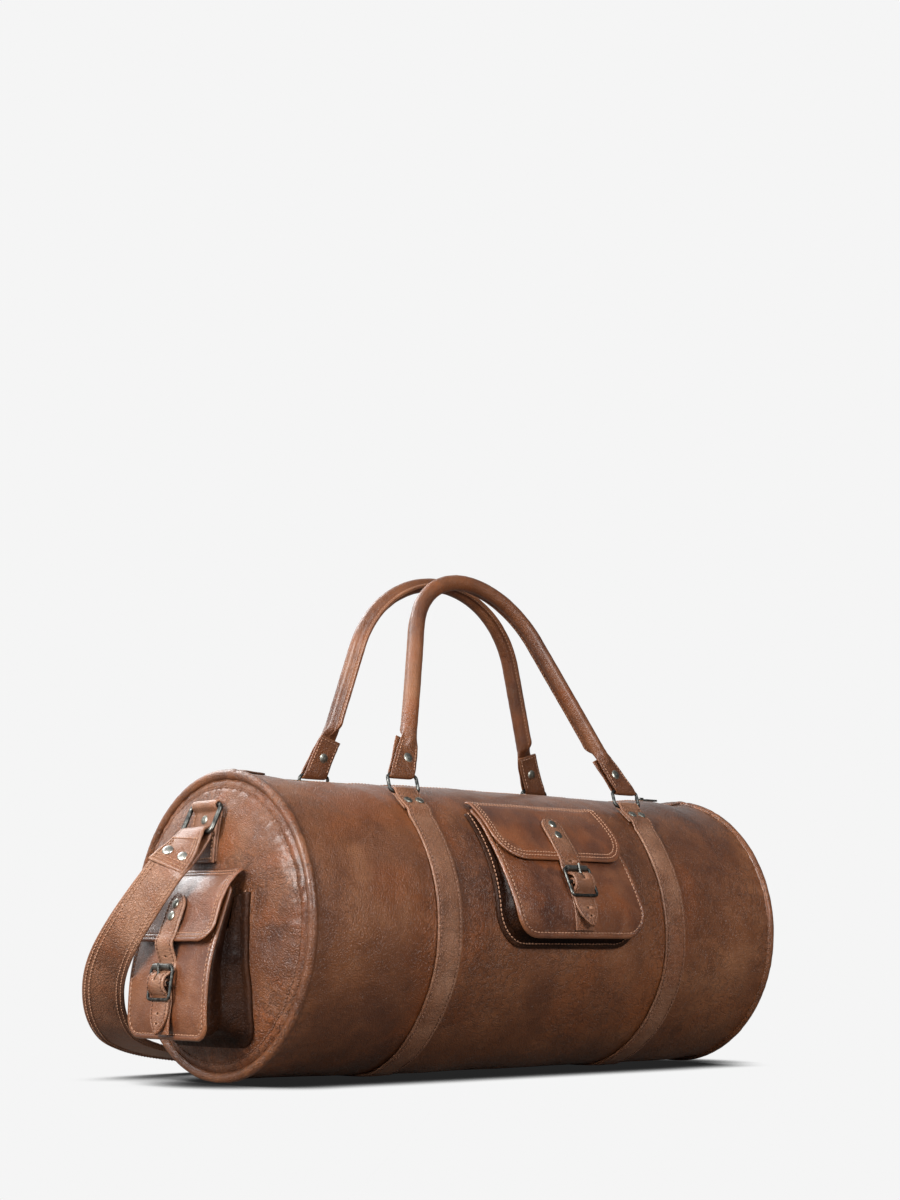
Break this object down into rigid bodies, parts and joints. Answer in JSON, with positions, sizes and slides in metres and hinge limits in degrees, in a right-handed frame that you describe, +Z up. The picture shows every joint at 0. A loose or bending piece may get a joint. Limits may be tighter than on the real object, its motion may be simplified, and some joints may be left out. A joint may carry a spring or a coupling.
{
  "type": "weekender bag",
  "caption": "Barrel-shaped leather weekender bag with two rolled handles, a top zip, a shoulder strap, and buckled flap pockets on the front and both ends.",
  "frame": {"origin": "on the floor under the middle of the barrel", "axes": "+X along the barrel to the right end, -Y towards the front pocket, +Z up"},
  "size_m": [0.7134, 0.3209, 0.4599],
  "materials": {
    "body_leather": "waxed full grain, mottled mid brown",
    "dark_leather": "waxed full grain, darker in the folds",
    "strap_leather": "waxed full grain, stitched edges",
    "lining_cloth": "woven cotton",
    "cord": "twisted filler cord",
    "gunmetal": "blackened, worn edges",
    "antique_nickel": "antique nickel, aged",
    "zip_metal": "antique brass"
  },
  "bodies": {
    "bag_body": {"body_panel": "body_leather", "lining": "lining_cloth", "end_panel_left": "body_leather", "end_panel_right": "body_leather", "piping_left": "dark_leather", "piping_right": "dark_leather", "piping_cords": "cord", "zip_tapes": "lining_cloth", "zip_coils": "zip_metal", "zip_stops": "antique_nickel", "zip_end_tabs": "dark_leather", "band_left": "strap_leather", "band_right": "strap_leather", "band_rivets": "antique_nickel", "front_pocket_gusset": "dark_leather", "front_pocket_panel": "body_leather", "front_pocket_chape": "strap_leather", "left_pocket_gusset": "dark_leather", "left_pocket_panel": "body_leather", "left_pocket_chape": "strap_leather", "right_pocket_gusset": "dark_leather", "right_pocket_panel": "body_leather", "right_pocket_chape": "strap_leather", "strap_anchor_left": "strap_leather", "strap_anchor_right": "strap_leather", "anchor_rivets": "antique_nickel"},
    "zip_slider": {"zip_slider": "gunmetal"},
    "zip_pull": {"zip_pull": "gunmetal"},
    "front_rings": {"ring_front_left": "antique_nickel", "ring_front_right": "antique_nickel"},
    "front_handle": {"handle_front_cover": "body_leather", "handle_front_core": "cord", "handle_front_rivets": "antique_nickel"},
    "back_rings": {"ring_back_left": "antique_nickel", "ring_back_right": "antique_nickel"},
    "back_handle": {"handle_back_cover": "body_leather", "handle_back_core": "cord", "handle_back_rivets": "antique_nickel"},
    "left_end_ring": {"end_ring_left": "gunmetal"},
    "right_end_ring": {"end_ring_right": "gunmetal"},
    "shoulder_strap": {"shoulder_strap": "body_leather", "strap_rivets": "antique_nickel"},
    "front_flap": {"front_pocket_flap": "body_leather", "front_pocket_strap": "strap_leather", "front_pocket_rivets": "antique_nickel"},
    "front_buckle": {"front_buckle_frame": "gunmetal"},
    "front_roller": {"front_buckle_roller": "gunmetal"},
    "front_tongue": {"front_buckle_tongue": "gunmetal"},
    "left_flap": {"left_pocket_flap": "body_leather", "left_pocket_strap": "strap_leather", "left_pocket_rivets": "antique_nickel"},
    "left_buckle": {"left_buckle_frame": "gunmetal"},
    "left_roller": {"left_buckle_roller": "gunmetal"},
    "left_tongue": {"left_buckle_tongue": "gunmetal"},
    "right_flap": {"right_pocket_flap": "body_leather", "right_pocket_strap": "strap_leather", "right_pocket_rivets": "antique_nickel"},
    "right_buckle": {"right_buckle_frame": "gunmetal"},
    "right_roller": {"right_buckle_roller": "gunmetal"},
    "right_tongue": {"right_buckle_tongue": "gunmetal"}
  },
  "joints": [
    {"name": "zip_slider_travel", "type": "slide", "parent": "bag_body", "child": "zip_slider", "axis": [-1, 0, 0], "range_m": [0, 0.455]},
    {"name": "zip_pull_lift", "type": "hinge", "parent": "zip_slider", "child": "zip_pull", "pos_m": [0.228, 0, 0.2556], "axis": [0, -1, 0], "range_deg": [0, 150]},
    {"name": "front_rings_tilt", "type": "hinge", "parent": "bag_body", "child": "front_rings", "pos_m": [0, -0.0703, 0.24051], "axis": [1, 0, 0], "range_deg": [-1, 60]},
    {"name": "front_handle_swing", "type": "hinge", "parent": "front_rings", "child": "front_handle", "pos_m": [0, -0.06592, 0.25485], "axis": [1, 0, 0], "range_deg": [-1.5, 80]},
    {"name": "back_rings_tilt", "type": "hinge", "parent": "bag_body", "child": "back_rings", "pos_m": [0, 0.05816, 0.24724], "axis": [-1, 0, 0], "range_deg": [-1, 60]},
    {"name": "back_handle_swing", "type": "hinge", "parent": "back_rings", "child": "back_handle", "pos_m": [0, 0.05659, 0.26216], "axis": [-1, 0, 0], "range_deg": [-1, 68]},
    {"name": "front_flap_open", "type": "hinge", "parent": "bag_body", "child": "front_flap", "pos_m": [0, -0.07723, 0.23431], "axis": [-1, 0, 0], "range_deg": [0, 150], "deforming": ["front_pocket_strap"]},
    {"name": "front_buckle_tilt", "type": "hinge", "parent": "bag_body", "child": "front_buckle", "pos_m": [0, -0.1443, 0.1656], "axis": [1, 0, 0], "range_deg": [-10, 10]},
    {"name": "front_roller_spin", "type": "hinge", "parent": "front_buckle", "child": "front_roller", "pos_m": [0, -0.1386, 0.17728], "axis": [1, 0, 0], "continuous": true},
    {"name": "front_tongue_swing", "type": "hinge", "parent": "front_buckle", "child": "front_tongue", "pos_m": [0, -0.1443, 0.1656], "axis": [1, 0, 0], "range_deg": [0, 75]},
    {"name": "left_flap_open", "type": "hinge", "parent": "bag_body", "child": "left_flap", "pos_m": [-0.2949, 0, 0.172], "axis": [0, 1, 0], "range_deg": [0, 50], "deforming": ["left_pocket_strap"]},
    {"name": "left_buckle_tilt", "type": "hinge", "parent": "bag_body", "child": "left_buckle", "pos_m": [-0.3335, 0, 0.081], "axis": [0, -1, 0], "range_deg": [-10, 10]},
    {"name": "left_roller_spin", "type": "hinge", "parent": "left_buckle", "child": "left_roller", "pos_m": [-0.33169, 0, 0.09387], "axis": [0, -1, 0], "continuous": true},
    {"name": "left_tongue_swing", "type": "hinge", "parent": "left_buckle", "child": "left_tongue", "pos_m": [-0.3335, 0, 0.081], "axis": [0, -1, 0], "range_deg": [0, 75]},
    {"name": "right_flap_open", "type": "hinge", "parent": "bag_body", "child": "right_flap", "pos_m": [0.2949, 0, 0.172], "axis": [0, -1, 0], "range_deg": [0, 50], "deforming": ["right_pocket_strap"]},
    {"name": "right_buckle_tilt", "type": "hinge", "parent": "bag_body", "child": "right_buckle", "pos_m": [0.3335, 0, 0.081], "axis": [0, 1, 0], "range_deg": [-10, 10]},
    {"name": "right_roller_spin", "type": "hinge", "parent": "right_buckle", "child": "right_roller", "pos_m": [0.33169, 0, 0.09387], "axis": [0, 1, 0], "continuous": true},
    {"name": "right_tongue_swing", "type": "hinge", "parent": "right_buckle", "child": "right_tongue", "pos_m": [0.3335, 0, 0.081], "axis": [0, 1, 0], "range_deg": [0, 75]},
    {"name": "left_end_ring_swing", "type": "hinge", "parent": "bag_body", "child": "left_end_ring", "pos_m": [-0.29144, 0, 0.225], "axis": [0, 1, 0], "range_deg": [-4, 10], "deforming": ["shoulder_strap"]},
    {"name": "right_end_ring_swing", "type": "hinge", "parent": "bag_body", "child": "right_end_ring", "pos_m": [0.29144, 0, 0.225], "axis": [0, -1, 0], "range_deg": [-4, 10]},
    {"name": "shoulder_strap_lift", "type": "hinge", "parent": "bag_body", "child": "shoulder_strap", "pos_m": [0, 0, 0.20234], "axis": [1, 0, 0], "range_deg": [0, 110]}
  ]
}
